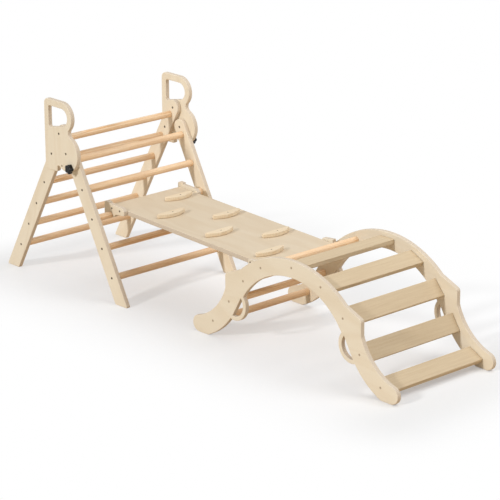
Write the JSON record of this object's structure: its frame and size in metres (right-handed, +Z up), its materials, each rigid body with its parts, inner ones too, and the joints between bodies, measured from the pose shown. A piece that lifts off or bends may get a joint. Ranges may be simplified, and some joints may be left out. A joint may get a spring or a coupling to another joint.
{
  "type": "climbing set",
  "caption": "Wooden toddler climbing set: a folding triangle with rungs and handles, a hooked ramp with holds, and a low arch with round and flat steps.",
  "frame": {"origin": "on the floor, under the centre of the set's bounding box", "axes": "+X from the triangle to the arch, +Y across the set towards its far side, +Z up"},
  "size_m": [2.1112, 0.6352, 0.735],
  "materials": {
    "birch_plywood": "pale birch plywood, fine-sanded and clear oiled, edges rounded",
    "oiled_rod": "round beech rod, clear oiled to an orange tan",
    "pine_slat": "flat step of pale wood, oiled",
    "black_plastic": "moulded black plastic with a satin skin",
    "zinc_steel": "zinc plated steel, dull"
  },
  "bodies": {
    "right_frame": {"right_leg_near": "birch_plywood", "right_leg_far": "birch_plywood", "lock_insert_near": "zinc_steel", "lock_insert_far": "zinc_steel", "right_rung_1": "oiled_rod", "right_rung_2": "oiled_rod", "right_rung_3": "oiled_rod", "right_rung_4": "oiled_rod", "right_rung_5": "oiled_rod"},
    "left_frame": {"head_plate_near": "birch_plywood", "head_plate_far": "birch_plywood", "left_leg_near": "birch_plywood", "left_leg_far": "birch_plywood", "left_rung_1": "oiled_rod", "left_rung_2": "oiled_rod", "left_rung_3": "oiled_rod", "left_rung_4": "oiled_rod", "left_rung_5": "oiled_rod", "left_rung_6": "oiled_rod", "head_screw_near_1": "zinc_steel", "head_screw_near_2": "zinc_steel", "head_screw_far_1": "zinc_steel", "head_screw_far_2": "zinc_steel", "pivot_bolt_near": "zinc_steel", "pivot_bolt_far": "zinc_steel"},
    "knob_near": {"star_knob_near": "black_plastic", "lock_bolt_near": "zinc_steel"},
    "knob_far": {"star_knob_far": "black_plastic", "lock_bolt_far": "zinc_steel"},
    "ramp": {"ramp_board": "birch_plywood", "upper_hook_near": "birch_plywood", "upper_hook_far": "birch_plywood", "lower_hook_near": "birch_plywood", "lower_hook_far": "birch_plywood", "ramp_hold_1": "pine_slat", "ramp_hold_2": "pine_slat", "ramp_hold_3": "pine_slat", "ramp_hold_4": "pine_slat", "ramp_hold_5": "pine_slat", "ramp_hold_6": "pine_slat"},
    "arch": {"arch_panel_near": "birch_plywood", "arch_panel_far": "birch_plywood", "arch_rod_1": "oiled_rod", "arch_rod_2": "oiled_rod", "arch_rod_3": "oiled_rod", "arch_rod_4": "oiled_rod", "arch_slat_1": "pine_slat", "arch_slat_2": "pine_slat", "arch_slat_3": "pine_slat", "arch_slat_4": "pine_slat", "arch_slat_5": "pine_slat"}
  },
  "joints": [
    {"name": "triangle_fold", "type": "hinge", "parent": "right_frame", "child": "left_frame", "pos_m": [-0.64454, 0, 0.5375], "axis": [0, -1, 0], "range_deg": [0, 55]},
    {"name": "knob_near_turn", "type": "hinge", "parent": "left_frame", "child": "knob_near", "pos_m": [-0.61657, -0.3, 0.48555], "axis": [0, -1, 0], "range_deg": [0, 720]},
    {"name": "knob_far_turn", "type": "hinge", "parent": "left_frame", "child": "knob_far", "pos_m": [-0.61657, 0.3, 0.48555], "axis": [0, 1, 0], "range_deg": [0, 720]},
    {"name": "ramp_lift", "type": "hinge", "parent": "right_frame", "child": "ramp", "pos_m": [-0.51905, 0, 0.30444], "axis": [0, -1, 0], "range_deg": [0, 45]},
    {"name": "arch_shift", "type": "slide", "parent": "right_frame", "child": "arch", "axis": [0, 1, 0], "range_m": [-0.03, 0.03]}
  ]
}
